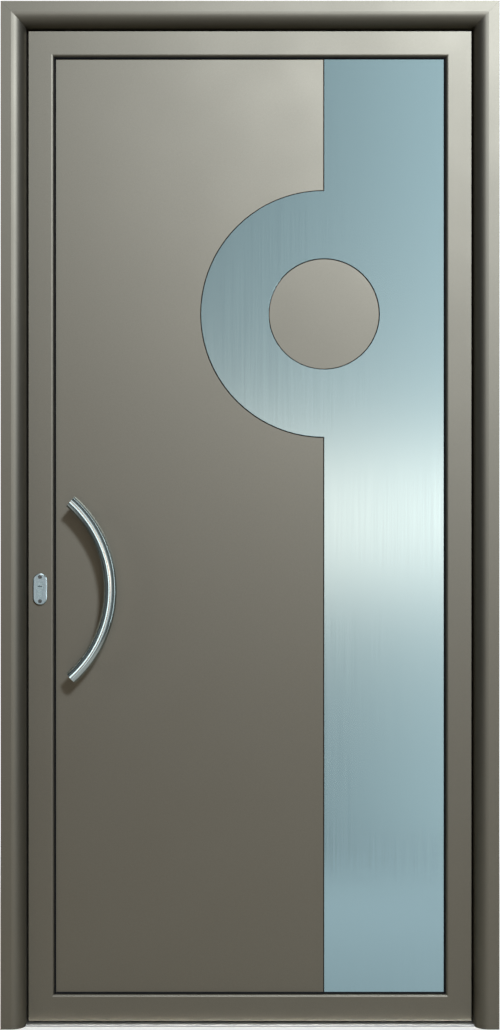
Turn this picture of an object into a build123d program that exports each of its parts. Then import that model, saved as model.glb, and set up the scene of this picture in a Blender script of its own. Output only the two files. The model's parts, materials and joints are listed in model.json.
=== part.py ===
from build123d import *
import os
from math import cos, radians, sin, tan

# Aluminium entrance door in its frame, seen from outside: X to the right, Y into the house, Z up.
# The origin is on the floor, halfway along the threshold and halfway through the frame's depth.
# Sections are drawn as (u, v): u runs from the frame's outer edge towards the opening,
# v runs from the frame's outside face into the house.

# Frame
frame_width = 1018.0
frame_height = 2100.0
frame_depth = 102.0
frame_flat = 21.0            # flat strip round the outside face
reveal_round = 27.5          # radius of the reveal
reveal_depth = 32.0
frame_shell_depth = 44.0     # hollow part of the outer shell
frame_inner_width = 27.5
stop_depth = 62.0            # from the outside face to the stop's shoulder
stop_shoulder = 12.5
stop_lip = 5.0
wall = 2.0                   # profile walls
joint_gap = 4.5              # round the leaf

# Leaf
leaf_foot = 8.0              # height of the leaf's lower edge
leaf_flat = 46.0             # flat face of stiles and top rail
sole_extra = 2.0             # the bottom rail is this much deeper
leaf_box_width = 42.0
leaf_shell_depth = 16.0
lip_width = 6.5
lip_depth = 6.0
seal_gap = 4.0               # between the frame's shoulder and the leaf's rebate

# Plastic strips that join outer and inner shells
strip_web = 2.0
strip_foot_depth = 2.2
strip_mouth = 1.5            # half width where a foot enters its groove
strip_root = 2.2             # half width at the groove's floor
strip_clearance = 0.1

# Threshold
threshold_height = 4.7
threshold_nose = 16.0        # set back from the frame's outside face
threshold_break_width = 12.0
threshold_end_gap = 0.5
threshold_bevel = 0.8
tread_rib_pitch = 6.0
tread_rib_width = 2.0
tread_rib_depth = 1.0
tread_rib_count = 4

# Filling panel
panel_setback = 8.0          # panel face behind the leaf face
panel_thickness = 36.0
panel_skin = 2.0
panel_edge_gap = 2.5
gasket_nose = 3.1            # seen between lip and panel
gasket_nose_rise = 1.6
inner_gasket = 3.0
bead_width = 20.0
bead_set = 1.0               # bead front behind the leaf's inside face
bead_wall = 1.4
bead_round = 4.0
bead_foot = 3.0
bead_foot_depth = 1.8

# Stainless inlay
inlay_thickness = 2.0
inlay_bevel = 0.5
inlay_band_width = 247.1
inlay_ring_drop = 634.4      # top of the frame to the ring's centre
inlay_outer_radius = 254.0
inlay_inner_radius = 114.7
inlay_margin = 0.3

# Pull handle
handle_tube = 13.45          # radius
handle_bow_radius = 240.0
handle_half_angle = 48.4
handle_inset = 225.0         # frame's outer edge to the bow's middle
handle_mid_z = 898.5
handle_standoff = 50.0       # panel face to tube centreline
handle_post = 9.0            # radius
handle_post_angle = 40.0
handle_bolt = 4.0            # radius
handle_thread = 4.1          # radius of the tapped hole in a post
handle_bolt_hole = 4.4       # radius through the panel
handle_bolt_head = 11.0      # middle to corner
handle_bolt_head_height = 5.0
handle_bolt_reach = 22.0

# Lock
backset = 45.0               # leaf edge to cylinder and follower
forend_width = 24.0
forend_thickness = 3.0
forend_length = 235.0
forend_drop = 38.5           # follower down to the faceplate's middle
case_thickness = 15.0
case_wall = 1.4
case_gap = 0.3               # case to the profile's chamber wall
case_height = 177.0
case_drop = 48.5
follower_z = 996.0
cylinder_pitch = 92.0        # follower down to cylinder
latch_rise = 19.0            # follower up to latch
bolt_drop = 46.0             # follower down to dead bolt
latch_height = 18.0
latch_thickness = 11.5
latch_throw = 12.0
latch_body = 26.0
latch_tail = 4.0
latch_lug = 3.0
bolt_height = 36.0
bolt_thickness = 10.0
bolt_throw = 20.0
bolt_tail = 8.0              # left in the case when the bolt is out
bolt_clearance = 0.4
follower_radius = 9.0
follower_arm = 19.0
follower_arm_width = 4.0
follower_arm_thickness = 7.0
follower_arm_angle = 40.0
follower_play = 0.6          # arm to lug at rest
cylinder_radius = 8.5
cylinder_drop = 24.5         # plug centre to the foot of the cylinder
cylinder_tail = 5.0          # half width
cylinder_outside = 60.0
cylinder_inside = 30.0
cylinder_hole_clearance = 0.4
plug_radius = 6.5
plug_clearance = 0.05
cam_radius = 14.0
cam_hub = 8.2
cam_width = 8.0
cam_thickness = 9.4
cam_slot = 10.0
cam_bridge = 8.0
cam_gap = 0.5
keyway_width = 9.0
keyway_height = 2.2
keyway_depth = 22.0
cylinder_screw = 2.4         # radius
cylinder_screw_head = 4.6
cylinder_screw_head_depth = 2.4
cylinder_screw_clearance = 0.1

# Strike
strike_length = 150.0
strike_drop = 16.0

# Furniture
outer_rose_width = 28.0
outer_rose_height = 64.0
outer_rose_thickness = 7.0
outer_rose_bevel = 1.2
outer_rose_drop = 6.0        # cylinder down to the rose's middle
inside_plate_width = 27.0
inside_plate_height = 220.0
inside_plate_thickness = 9.0
inside_plate_bevel = 1.5
inside_plate_drop = 46.0
lever_radius = 9.5
lever_reach = 50.0           # plate face to grip centreline
lever_length = 128.0
lever_end_bevel = 1.5
lever_collar_gap = 0.4
lever_seat = 3.0
spindle = 8.0
spindle_clearance = 0.1
spindle_grip = 24.0          # length inside the lever

# Hinges
hinge_inset = 250.0          # foot and head of the frame to the outer hinges' middles
hinge_radius = 10.0
hinge_pin = 5.0
hinge_pin_clearance = 0.05
hinge_bush = 6.5
hinge_bush_length = 35.0
hinge_flange = 9.5
hinge_flange_thickness = 1.5
hinge_flange_gap = 0.1       # flange to the frame's knuckle
hinge_end = 4.0              # closed end of each knuckle
hinge_axis_offset = 11.5     # from the inside face
hinge_height = 110.0
hinge_plate = 5.0
hinge_plate_clear = 9.25     # pin axis to either plate's near edge
hinge_frame_plate_width = 18.0
hinge_leaf_plate_width = 23.0

# Fixing holes in the jambs
fixing_hole = 4.0
fixing_access = 15.0         # side of the square way in from the rebate
fixing_foot = 200.0          # floor to the lowest hole
fixing_head = 220.0          # top of the frame to the highest hole
fixing_count = 4

# Gaskets and seals
stop_gasket_mouth = 1.5
stop_gasket_root = 2.5
stop_gasket_depth = 3.5
stop_gasket_neck = 1.5
stop_gasket_width = 6.6
stop_gasket_taper = 1.2
stop_gasket_free = 0.2       # bulb to leaf
foot_gasket_mouth = 1.5
foot_gasket_root = 2.5
foot_gasket_depth = 2.8
foot_gasket_neck = 1.2
groove_clearance = 0.1
seal_holder_width = 12.0
seal_holder_height = 10.0
seal_brush_width = 4.0
seal_brush_free = 0.2        # brush to threshold
seal_brush_slot = 6.0

# Corner cleats
cleat_leg = 70.0
cleat_width = 16.0
cleat_clearance = 0.2

# Cutting tools reach this far past a face
thin = 1.0

# Worked out from the sizes above
half_width = frame_width / 2
half_depth = frame_depth / 2
frame_face = frame_flat + reveal_round
leaf_edge = frame_face + joint_gap
leaf_inner_edge = frame_inner_width + joint_gap
leaf_sole = leaf_edge - sole_extra
leaf_box = leaf_edge + leaf_box_width
leaf_lip = leaf_edge + leaf_flat + lip_width
leaf_face = reveal_depth
rebate_depth = stop_depth + seal_gap
inner_shell_depth = frame_depth - rebate_depth
hardware_depth = frame_depth - inner_shell_depth / 2
leaf_shell_back = leaf_face + leaf_shell_depth
lip_back = leaf_face + lip_depth
panel_face = leaf_face + panel_setback
panel_back = panel_face + panel_thickness
panel_edge = leaf_box + panel_edge_gap
panel_sight = leaf_lip + gasket_nose
bead_front = panel_back + inner_gasket
bead_back = frame_depth - bead_set
boss_half = strip_root + wall
boss_depth = strip_foot_depth + wall
cylinder_u = leaf_inner_edge + backset
outside_rose_face = leaf_face - outer_rose_thickness
forend_seat = leaf_inner_edge + forend_thickness
case_end = leaf_box - wall - case_gap
hinge_u = (frame_inner_width + leaf_inner_edge) / 2
hinge_v = frame_depth + hinge_axis_offset
handle_v = panel_face - handle_standoff
hinge_heights = (hinge_inset, frame_height / 2, frame_height - hinge_inset)
fixing_pitch = (frame_height - fixing_foot - fixing_head) / (fixing_count - 1)
handle_mid_x = handle_inset - half_width
handle_centre_x = handle_mid_x - handle_bow_radius
inlay_edge_x = half_width - panel_sight - inlay_margin
inlay_band_x = inlay_edge_x - inlay_band_width
inlay_ring_z = frame_height - inlay_ring_drop
cylinder_z = follower_z - cylinder_pitch
latch_z = follower_z + latch_rise
bolt_z = follower_z - bolt_drop
forend_z = follower_z - forend_drop
case_z = follower_z - case_drop
strike_z = follower_z - strike_drop
outer_rose_z = cylinder_z - outer_rose_drop
inside_plate_z = follower_z - inside_plate_drop


def lock_x(u):
    """X of a point on the lock side, from the frame's outer edge."""
    return u - half_width


def hinge_x(u):
    """X of a point on the hinge side, from the frame's outer edge."""
    return half_width - u


def depth_y(v):
    """Y of a point v behind the frame's outside face."""
    return v - half_depth


def foot_z(u):
    """Height of a bottom rail's point, whose section starts at the leaf's sole."""
    return leaf_foot + u - leaf_sole


def area(u0, v0, u1, v1):
    """Rectangle between two corners of a section."""
    return Pos((u0 + u1) / 2, (v0 + v1) / 2) * Rectangle(u1 - u0, v1 - v0)


def block(x0, x1, y0, y1, z0, z1):
    """Box between two corners."""
    middle = Pos((x0 + x1) / 2, (y0 + y1) / 2, (z0 + z1) / 2)
    return middle * Box(x1 - x0, y1 - y0, z1 - z0)


def along_x(sketch, x0, x1, y=0.0, z=0.0):
    """Sketch drawn in (Y, Z), extruded from x0 to x1."""
    plane = Plane(origin=(x0, y, z), x_dir=(0, 1, 0), z_dir=(1, 0, 0))
    return plane * extrude(sketch, x1 - x0)


def along_y(sketch, y0, y1, x=0.0, z=0.0):
    """Sketch drawn in (X, Z), extruded from y0 to y1."""
    plane = Plane(origin=(x, y1, z), x_dir=(1, 0, 0), z_dir=(0, -1, 0))
    return plane * extrude(sketch, y1 - y0)


def along_z(sketch, z0, z1, x=0.0, y=0.0):
    """Sketch drawn in (X, Y), extruded from z0 to z1."""
    return Pos(x, y, z0) * extrude(sketch, z1 - z0)


def rounded_front(u0, v0, u1, v1, radius):
    """Rectangle whose corner at (u1, v0) is rounded."""
    arc = CenterArc((u1 - radius, v0 + radius), radius, -90, 90)
    edges = [Line((u0, v0), (u1 - radius, v0)), arc]
    if v0 + radius < v1:
        edges.append(Line((u1, v0 + radius), (u1, v1)))
    edges.append(Polyline((u1, v1), (u0, v1), (u0, v0)))
    return make_face(edges)


def hollow(u0, v0, u1, v1, thickness):
    """Box profile with even walls."""
    inside = area(u0 + thickness, v0 + thickness, u1 - thickness, v1 - thickness)
    return area(u0, v0, u1, v1) - inside


def dovetail(u, v, direction, mouth, root, depth, clearance=0.0):
    """Foot that widens from its mouth on the face v into the wall, towards direction."""
    out = direction * (depth + clearance)
    near = mouth + clearance
    far = root + clearance
    corners = [(u - near, v), (u + near, v), (u + far, v + out), (u - far, v + out)]
    return make_face(Polyline(*corners, close=True))


def strip_boss(u, v, direction):
    """Wall metal round a strip's groove."""
    return area(u - boss_half, min(v, v + direction * boss_depth),
                u + boss_half, max(v, v + direction * boss_depth))


def strip_groove(u, v, direction):
    return dovetail(u, v, direction, strip_mouth, strip_root, strip_foot_depth, strip_clearance)


def strip_section(u, v0, v1):
    """Plastic strip from the outer shell's back face v0 to the inner shell's front face v1."""
    web = area(u - strip_web / 2, v0, u + strip_web / 2, v1)
    outer_foot = dovetail(u, v0, -1, strip_mouth, strip_root, strip_foot_depth)
    inner_foot = dovetail(u, v1, 1, strip_mouth, strip_root, strip_foot_depth)
    return web + outer_foot + inner_foot


def channel(u, inward):
    """Groove for faceplates along an inner shell's edge, as (metal round it, cut)."""
    half = forend_width / 2 + groove_clearance
    deep = u + inward * forend_thickness
    back = u + inward * (forend_thickness + wall)
    metal = area(min(u, back), hardware_depth - half - wall,
                 max(u, back), hardware_depth + half + wall)
    cut = area(min(u, deep), hardware_depth - half, max(u, deep), hardware_depth + half)
    return metal, cut


def bar(section, origin, across, along, length):
    """Section extruded along a side, with its u axis along across and its v axis along Y."""
    plane = Plane(origin=origin, x_dir=across, z_dir=along)
    return plane * extrude(section, length)


def mitre(points):
    """Prism through the whole depth whose outline in (X, Z) trims a member's ends."""
    return along_y(make_face(Polyline(*points, close=True)), -frame_depth, frame_depth)


right = (1, 0, 0)
left = (-1, 0, 0)
up = (0, 0, 1)
down = (0, 0, -1)


def frame_jamb_outline(side):
    """Outline of a jamb, square at the floor and mitred at the head."""
    reach = frame_face + thin
    return mitre([
        (side * half_width, -thin),
        (side * half_width, frame_height),
        (side * (half_width - reach), frame_height - reach),
        (side * (half_width - reach), -thin),
    ])


def frame_head_outline():
    reach = frame_face + thin
    return mitre([
        (-half_width, frame_height),
        (half_width, frame_height),
        (half_width - reach, frame_height - reach),
        (reach - half_width, frame_height - reach),
    ])


def frame_member(section, member):
    """Jamb or head of the frame with this section."""
    if member == "lock":
        origin = (-half_width, -half_depth, 0)
        return bar(section, origin, right, up, frame_height) & frame_jamb_outline(-1)
    if member == "hinge":
        origin = (half_width, -half_depth, frame_height)
        return bar(section, origin, left, down, frame_height) & frame_jamb_outline(1)
    origin = (-half_width, -half_depth, frame_height)
    return bar(section, origin, down, right, frame_width) & frame_head_outline()


def leaf_stile_outline(side):
    """Outline of a stile: mitred at both ends, and square at the foot outside the rail."""
    reach = panel_sight + bead_width
    edge = half_width - leaf_edge
    return mitre([
        (side * half_width, leaf_foot),
        (side * half_width, frame_height),
        (side * (half_width - reach), frame_height - reach),
        (side * (half_width - reach), foot_z(reach)),
        (side * edge, foot_z(leaf_edge)),
        (side * edge, leaf_foot),
    ])


def leaf_top_outline():
    reach = panel_sight + bead_width
    return mitre([
        (-half_width, frame_height),
        (half_width, frame_height),
        (half_width - reach, frame_height - reach),
        (reach - half_width, frame_height - reach),
    ])


def leaf_bottom_outline():
    reach = panel_sight + bead_width
    edge = half_width - leaf_edge
    return mitre([
        (-edge, leaf_foot),
        (edge, leaf_foot),
        (edge, foot_z(leaf_edge)),
        (half_width - reach, foot_z(reach)),
        (reach - half_width, foot_z(reach)),
        (-edge, foot_z(leaf_edge)),
    ])


def leaf_member(section, member):
    """Stile or rail of the leaf, or a gasket or bead that follows it."""
    if member == "lock":
        origin = (-half_width, -half_depth, 0)
        return bar(section, origin, right, up, frame_height) & leaf_stile_outline(-1)
    if member == "hinge":
        origin = (half_width, -half_depth, frame_height)
        return bar(section, origin, left, down, frame_height) & leaf_stile_outline(1)
    if member == "top":
        origin = (-half_width, -half_depth, frame_height)
        return bar(section, origin, down, right, frame_width) & leaf_top_outline()
    origin = (half_width, -half_depth, foot_z(0))
    return bar(section, origin, up, left, frame_width) & leaf_bottom_outline()


# Profile sections

def frame_outer_section():
    """Outer shell: rounded reveal, chamber, stop leg and its grooved shoulder."""
    solid = rounded_front(0, 0, frame_face, frame_shell_depth, reveal_round)
    chamber = rounded_front(wall, wall, frame_face - wall, frame_shell_depth - wall,
                            reveal_round - wall)
    leg = area(frame_face - wall, frame_shell_depth, frame_face, stop_depth)
    shoulder = area(frame_face - stop_shoulder, stop_depth - stop_lip, frame_face, stop_depth)
    section = solid - chamber + leg + shoulder
    for u in frame_strip_lines():
        section += strip_boss(u, frame_shell_depth, -1)
        section -= strip_groove(u, frame_shell_depth, -1)
    groove = dovetail(stop_gasket_line(), stop_depth, -1, stop_gasket_mouth,
                      stop_gasket_root, stop_gasket_depth, groove_clearance)
    return section - groove


def frame_inner_section():
    metal, cut = channel(frame_inner_width, -1)
    section = hollow(0, rebate_depth, frame_inner_width, frame_depth, wall) + metal - cut
    for u in frame_strip_lines():
        section += strip_boss(u, rebate_depth, 1)
        section -= strip_groove(u, rebate_depth, 1)
    return section


def frame_strip_lines():
    return (boss_half, frame_inner_width - boss_half)


def stop_gasket_line():
    return frame_face - stop_shoulder / 2


def leaf_strip_lines():
    return (leaf_edge + boss_half, leaf_box - boss_half)


def rail_strip_lines():
    """The bottom rail leaves room beside its sole for the seal holder."""
    return (leaf_sole + seal_holder_height + wall + boss_half, leaf_box - boss_half)


def leaf_outer_section(edge, strips):
    """Outer shell of the leaf: chamber and a rounded lip with a gasket groove behind it."""
    section = hollow(edge, leaf_face, leaf_box, leaf_shell_back, wall)
    section += rounded_front(leaf_box - wall, leaf_face, leaf_lip, lip_back, lip_depth)
    for u in strips:
        section += strip_boss(u, leaf_shell_back, -1)
        section -= strip_groove(u, leaf_shell_back, -1)
    groove = dovetail(lip_gasket_line(), lip_back, -1, foot_gasket_mouth,
                      foot_gasket_root, foot_gasket_depth, groove_clearance)
    return section - groove


def lip_gasket_line():
    return leaf_box + foot_gasket_root + groove_clearance + thin


def leaf_inner_section(edge, strips, grooved):
    """Inner shell of the leaf, with the faceplate groove on stiles and top rail."""
    section = hollow(edge, rebate_depth, leaf_box, frame_depth, wall)
    if grooved:
        metal, cut = channel(edge, 1)
        section = section + metal - cut
    for u in strips:
        section += strip_boss(u, rebate_depth, 1)
        section -= strip_groove(u, rebate_depth, 1)
    seat = bead_foot_line()
    half = bead_foot / 2
    section += area(leaf_box - wall - bead_foot_depth, seat - half - wall,
                    leaf_box, seat + half + wall)
    section -= area(leaf_box - bead_foot_depth - groove_clearance, seat - half - groove_clearance,
                    leaf_box, seat + half + groove_clearance)
    return section


def bead_foot_line():
    return bead_back - bead_wall - bead_foot / 2 - wall


def outer_gasket_section():
    """Glazing gasket behind the lip, with its black nose beside it."""
    foot = dovetail(lip_gasket_line(), lip_back, -1, foot_gasket_neck,
                    foot_gasket_root - groove_clearance, foot_gasket_depth)
    body = area(leaf_box + panel_edge_gap / 2, lip_back, leaf_lip, panel_face)
    nose = make_face(Polyline((leaf_lip, lip_back - gasket_nose_rise),
                              (leaf_lip + gasket_nose / 2, lip_back - gasket_nose_rise),
                              (panel_sight, lip_back - gasket_nose_rise / 4),
                              (panel_sight, panel_face), (leaf_lip, panel_face), close=True))
    return foot + body + nose


def inner_gasket_section():
    reach = leaf_box + bead_width
    return make_face(Polyline((panel_edge, panel_back), (reach, panel_back),
                              (reach + gasket_nose / 2, panel_back + inner_gasket / 2),
                              (reach, bead_front), (panel_edge, bead_front), close=True))


def bead_section():
    """Hollow snap-in bead with a rounded sight edge and a foot in the shell's groove."""
    def rounded(u0, v0, u1, v1, r):
        arc = CenterArc((u1 - r, v1 - r), r, 0, 90)
        outline = Polyline((u1 - r, v1), (u0, v1), (u0, v0), (u1, v0), (u1, v1 - r))
        return make_face([outline, arc])
    reach = leaf_box + bead_width
    solid = rounded(leaf_box, bead_front, reach, bead_back, bead_round)
    inside = rounded(leaf_box + bead_wall, bead_front + bead_wall, reach - bead_wall,
                     bead_back - bead_wall, bead_round - bead_wall)
    seat = bead_foot_line()
    foot = area(leaf_box - bead_foot_depth, seat - bead_foot / 2,
                leaf_box, seat + bead_foot / 2)
    return solid - inside + foot


def stop_gasket_section():
    u = stop_gasket_line()
    foot = dovetail(u, stop_depth, -1, stop_gasket_neck - groove_clearance,
                    stop_gasket_root - groove_clearance, stop_gasket_depth)
    top = rebate_depth - stop_gasket_free
    half = stop_gasket_width / 2
    bulb = make_face(Polyline((u - half, stop_depth), (u + half, stop_depth),
                              (u + half - stop_gasket_taper, top),
                              (u - half + stop_gasket_taper, top), close=True))
    return foot + bulb


# Lock, furniture and hinge outlines

def euro_profile(clearance=0.0):
    """Profile of a European cylinder about its plug, upright."""
    tail = cylinder_tail + clearance
    foot = cylinder_drop + clearance - tail
    lower = area(-tail, -foot, tail, 0) + Pos(0, -foot) * Circle(tail)
    return Circle(cylinder_radius + clearance) + lower


def solid_only(shape):
    """The shape's solids as one part."""
    solids = shape.solids()
    return solids[0] if len(solids) == 1 else Compound(children=list(solids))


def pair(shapes):
    """Group of separate solids for one node."""
    return Compound(children=[s for shape in shapes for s in shape.solids()])


# Holes that the lock needs in the profiles

def lock_slot_cut(z, height, thickness, u0, u1):
    """Rectangular way through faceplate, case or jamb for a bolt."""
    half = thickness / 2 + bolt_clearance
    y = depth_y(hardware_depth)
    return block(lock_x(u0), lock_x(u1), y - half, y + half,
                 z - height / 2 - bolt_clearance, z + height / 2 + bolt_clearance)


def case_box(grow):
    """Lock case, grown by a clearance."""
    y = depth_y(hardware_depth)
    half = case_thickness / 2 + grow
    return block(lock_x(forend_seat), lock_x(case_end), y - half, y + half,
                 case_z - case_height / 2 - grow, case_z + case_height / 2 + grow)


def cylinder_way(clearance):
    """Profile hole through the whole leaf."""
    return along_y(euro_profile(clearance), -frame_depth, frame_depth,
                   lock_x(cylinder_u), cylinder_z)


# Frame

def frame_fixing_cuts(side):
    """Round fixing holes on the wall side of a jamb, and square ways to them from the rebate."""
    y = depth_y(hardware_depth)
    half = fixing_access / 2
    first = -half_width
    step = first + wall + thin
    last = first + frame_inner_width + thin
    cuts = []
    for i in range(fixing_count):
        z = fixing_foot + i * fixing_pitch
        cuts.append(along_x(Circle(fixing_hole), first, step, y, z))
        cuts.append(block(step, last, y - half, y + half, z - half, z + half))
    cut = pair(cuts)
    return cut if side < 0 else mirror(cut, about=Plane.YZ)


def frame_jamb_inner(member):
    side = -1 if member == "lock" else 1
    jamb = frame_member(frame_inner_section(), member)
    for cut in frame_fixing_cuts(side).solids():
        jamb -= cut
    if member == "lock":
        behind = frame_inner_width - forend_thickness - wall - thin
        jamb -= lock_slot_cut(latch_z, latch_height, latch_thickness, behind, frame_face)
        jamb -= lock_slot_cut(bolt_z, bolt_height, bolt_thickness, behind, frame_face)
    return jamb


def frame_thermal_breaks():
    """Six strips that join the frame's shells."""
    strips = []
    for member in ("lock", "hinge", "head"):
        for u in frame_strip_lines():
            section = strip_section(u, frame_shell_depth, rebate_depth)
            strips.append(frame_member(section, member))
    return pair(strips)


def cleat(side, corner_z, direction, u0, v0, v1, sole):
    """Corner cleat with two legs, from the chamber's outer wall at u0."""
    inner = u0 + cleat_width
    end = u0 + cleat_leg
    points = [(u0, u0), (end, u0), (end, inner), (inner, inner), (inner, end), (u0, end)]
    outline = [(side * (half_width - a), corner_z + direction * (b - sole)) for a, b in points]
    return along_y(make_face(Polyline(*outline, close=True)), depth_y(v0), depth_y(v1))


def frame_corner_cleats():
    cleats = []
    for side in (-1, 1):
        outer = cleat(side, frame_height, -1, wall + cleat_clearance, wall + cleat_clearance,
                      frame_shell_depth - boss_depth - cleat_clearance, 0)
        inner = cleat(side, frame_height, -1, wall + cleat_clearance,
                      rebate_depth + boss_depth + cleat_clearance,
                      frame_depth - wall - cleat_clearance, 0)
        cleats += [outer, inner]
    return pair(cleats)


def frame_gasket():
    """Stop gasket along both jambs and the head, joined at its mitres."""
    section = stop_gasket_section()
    gasket = frame_member(section, "lock")
    gasket += frame_member(section, "head")
    gasket += frame_member(section, "hinge")
    below = threshold_height + seal_brush_free
    return gasket - block(-half_width, half_width, -half_depth, half_depth, 0, below)


def threshold_parts():
    """Outer half with its bevelled nose, plastic break, and inner half with tread ribs."""
    nose = depth_y(threshold_nose)
    split = depth_y(stop_depth)
    back = split + threshold_break_width
    end = depth_y(frame_depth)
    outer_half = half_width - frame_face - threshold_end_gap
    inner_half = half_width - frame_inner_width - threshold_end_gap
    outline = Polyline((nose, 0), (nose, threshold_height - threshold_bevel),
                       (nose + threshold_bevel, threshold_height),
                       (split, threshold_height), (split, 0), close=True)
    outer = along_x(make_face(outline), -outer_half, outer_half)
    insulator = block(-inner_half, inner_half, split, back, 0, threshold_height)
    inner = block(-inner_half, inner_half, back, end, 0, threshold_height)
    first = (back + end) / 2 - tread_rib_pitch * (tread_rib_count - 1) / 2
    for i in range(tread_rib_count):
        y = first + i * tread_rib_pitch
        inner -= block(-inner_half, inner_half, y - tread_rib_width / 2, y + tread_rib_width / 2,
                       threshold_height - tread_rib_depth, threshold_height)
    return outer, insulator, inner


# Leaf

def leaf_outer(member):
    edge = leaf_sole if member == "bottom" else leaf_edge
    strips = rail_strip_lines() if member == "bottom" else leaf_strip_lines()
    shell = leaf_member(leaf_outer_section(edge, strips), member)
    if member == "lock":
        shell -= cylinder_way(cylinder_hole_clearance)
    return shell


def leaf_inner(member):
    bottom = member == "bottom"
    edge = leaf_sole if bottom else leaf_inner_edge
    strips = rail_strip_lines() if bottom else leaf_strip_lines()
    shell = leaf_member(leaf_inner_section(edge, strips, not bottom), member)
    if member == "lock":
        shell -= cylinder_way(cylinder_hole_clearance)
        shell -= case_box(cylinder_hole_clearance)
        inside = depth_y(frame_depth)
        shell -= along_y(Circle(follower_radius), inside - wall - thin, inside + thin,
                         lock_x(cylinder_u), follower_z)
    return shell


def leaf_thermal_breaks():
    """Eight strips that join the leaf's shells."""
    strips = []
    for member in ("lock", "hinge", "top"):
        for u in leaf_strip_lines():
            strips.append(leaf_member(strip_section(u, leaf_shell_back, rebate_depth), member))
    outer_line, inner_line = rail_strip_lines()
    strips.append(leaf_member(strip_section(inner_line, leaf_shell_back, rebate_depth), "bottom"))
    short = leaf_member(strip_section(outer_line, leaf_shell_back, rebate_depth), "bottom")
    strips.append(short & rail_between_stiles())
    cut = cylinder_way(cylinder_hole_clearance)
    return pair([solid_only(strip - cut) for strip in strips])


def rail_between_stiles():
    """Room for what runs between the stiles' strips at the foot."""
    reach = half_width - leaf_edge - 2 * boss_half
    return block(-reach, reach, -half_depth, half_depth, 0, frame_height)


def leaf_corner_cleats():
    cleats = []
    for side in (-1, 1):
        for corner_z, direction, sole in ((frame_height, -1, 0), (leaf_foot, 1, leaf_sole)):
            start = leaf_edge + wall + cleat_clearance
            cleats.append(cleat(side, corner_z, direction, start,
                                leaf_face + wall + cleat_clearance,
                                leaf_shell_back - boss_depth - cleat_clearance, sole))
            start = leaf_edge + wall + forend_thickness
            cleats.append(cleat(side, corner_z, direction, start,
                                rebate_depth + boss_depth + cleat_clearance,
                                bead_foot_line() - bead_foot / 2 - wall - cleat_clearance, sole))
    return pair(cleats)


def ring_of(section):
    """Four mitred lengths joined into one closed frame."""
    ring = leaf_member(section, "lock")
    for member in ("top", "hinge", "bottom"):
        ring += leaf_member(section, member)
    return ring


def panel_plate(edge, v0, v1):
    """Flat plate inside the leaf whose edges lie at u = edge."""
    reach = half_width - edge
    return block(-reach, reach, depth_y(v0), depth_y(v1), foot_z(edge), frame_height - edge)


def panel_layers():
    """Outer sheet, foam core and inner sheet, drilled for the handle's bolts."""
    first = panel_face + panel_skin
    last = panel_back - panel_skin
    layers = [panel_plate(panel_edge, panel_face, first), panel_plate(panel_edge, first, last),
              panel_plate(panel_edge, last, panel_back)]
    hole = Circle(handle_bolt_hole)
    for x, z in handle_post_places():
        way = along_y(hole, depth_y(panel_face) - thin, depth_y(panel_back) + thin, x, z)
        layers = [layer - way for layer in layers]
    return layers


def inlay():
    """Band and half ring cut from one sheet, with a bevelled face edge."""
    top = frame_height - panel_sight - inlay_margin
    bottom = foot_z(panel_sight) + inlay_margin
    band = area(inlay_band_x, bottom, inlay_edge_x, top)
    disc = Pos(inlay_band_x, inlay_ring_z) * Circle(inlay_outer_radius)
    left_half = area(inlay_band_x - 2 * inlay_outer_radius, bottom, inlay_band_x, top)
    hole = Pos(inlay_band_x, inlay_ring_z) * Circle(inlay_inner_radius)
    outline = band + (disc & left_half) - hole
    front = depth_y(panel_face - inlay_thickness)
    sheet = along_y(outline, front, depth_y(panel_face))
    face = sheet.faces().sort_by(Axis.Y)[0]
    return chamfer(face.edges(), inlay_bevel)


def panel_beads():
    """Four beads, mitred at the corners."""
    section = bead_section()
    return [leaf_member(section, member) for member in ("lock", "hinge", "top", "bottom")]


def bottom_seal():
    """Holder between the shells and the brush that sweeps the threshold."""
    y = depth_y((leaf_shell_back + rebate_depth) / 2)
    reach = half_width - leaf_edge - 2 * boss_half
    top = leaf_foot + seal_holder_height
    half = seal_holder_width / 2
    holder = block(-reach, reach, y - half, y + half, leaf_foot, top)
    slot = leaf_foot + seal_brush_slot
    half = seal_brush_width / 2
    holder -= block(-reach, reach, y - half, y + half, leaf_foot, slot)
    brush = block(-reach, reach, y - half, y + half, threshold_height + seal_brush_free, slot)
    return holder, brush


# Hinges

def hinge_plate_area(part):
    """Plate's section, and the strip of it that carries the knuckle."""
    sign = -1 if part == "frame" else 1
    width = hinge_frame_plate_width if part == "frame" else hinge_leaf_plate_width
    near = hinge_x(hinge_u) - sign * hinge_plate_clear
    far = near - sign * width
    root = near - sign * hinge_plate
    face = depth_y(frame_depth)
    plate = area(min(near, far), face, max(near, far), face + hinge_plate)
    strip = area(min(near, root), face, max(near, root), face + hinge_plate)
    return plate, strip


def hinge_half(part, z):
    """One half of a hinge: a plate, and a knuckle on tangent webs with a blind bore."""
    axis = (hinge_x(hinge_u), depth_y(hinge_v))
    plate, strip = hinge_plate_area(part)
    barrel = Pos(*axis) * Circle(hinge_radius)
    web = make_hull(barrel.edges() + strip.edges())
    half = hinge_height / 2
    if part == "frame":
        low, high = z - half, z - hinge_flange_thickness / 2 - hinge_flange_gap
        bore = along_z(Circle(hinge_pin + hinge_pin_clearance), low + hinge_end, z, *axis)
    else:
        low, high = z + hinge_flange_thickness / 2, z + half
        bore = along_z(Circle(hinge_bush + hinge_pin_clearance), z, high - hinge_end, *axis)
    return along_z(plate, z - half, z + half) + along_z(web, low, high) - bore


def hinge_pins():
    axis = (hinge_x(hinge_u), depth_y(hinge_v))
    reach = hinge_height / 2 - hinge_end
    pins = []
    for z in hinge_heights:
        pins.append(along_z(Circle(hinge_pin), z - reach, z + reach - hinge_flange_gap, *axis))
    return pair(pins)


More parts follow.
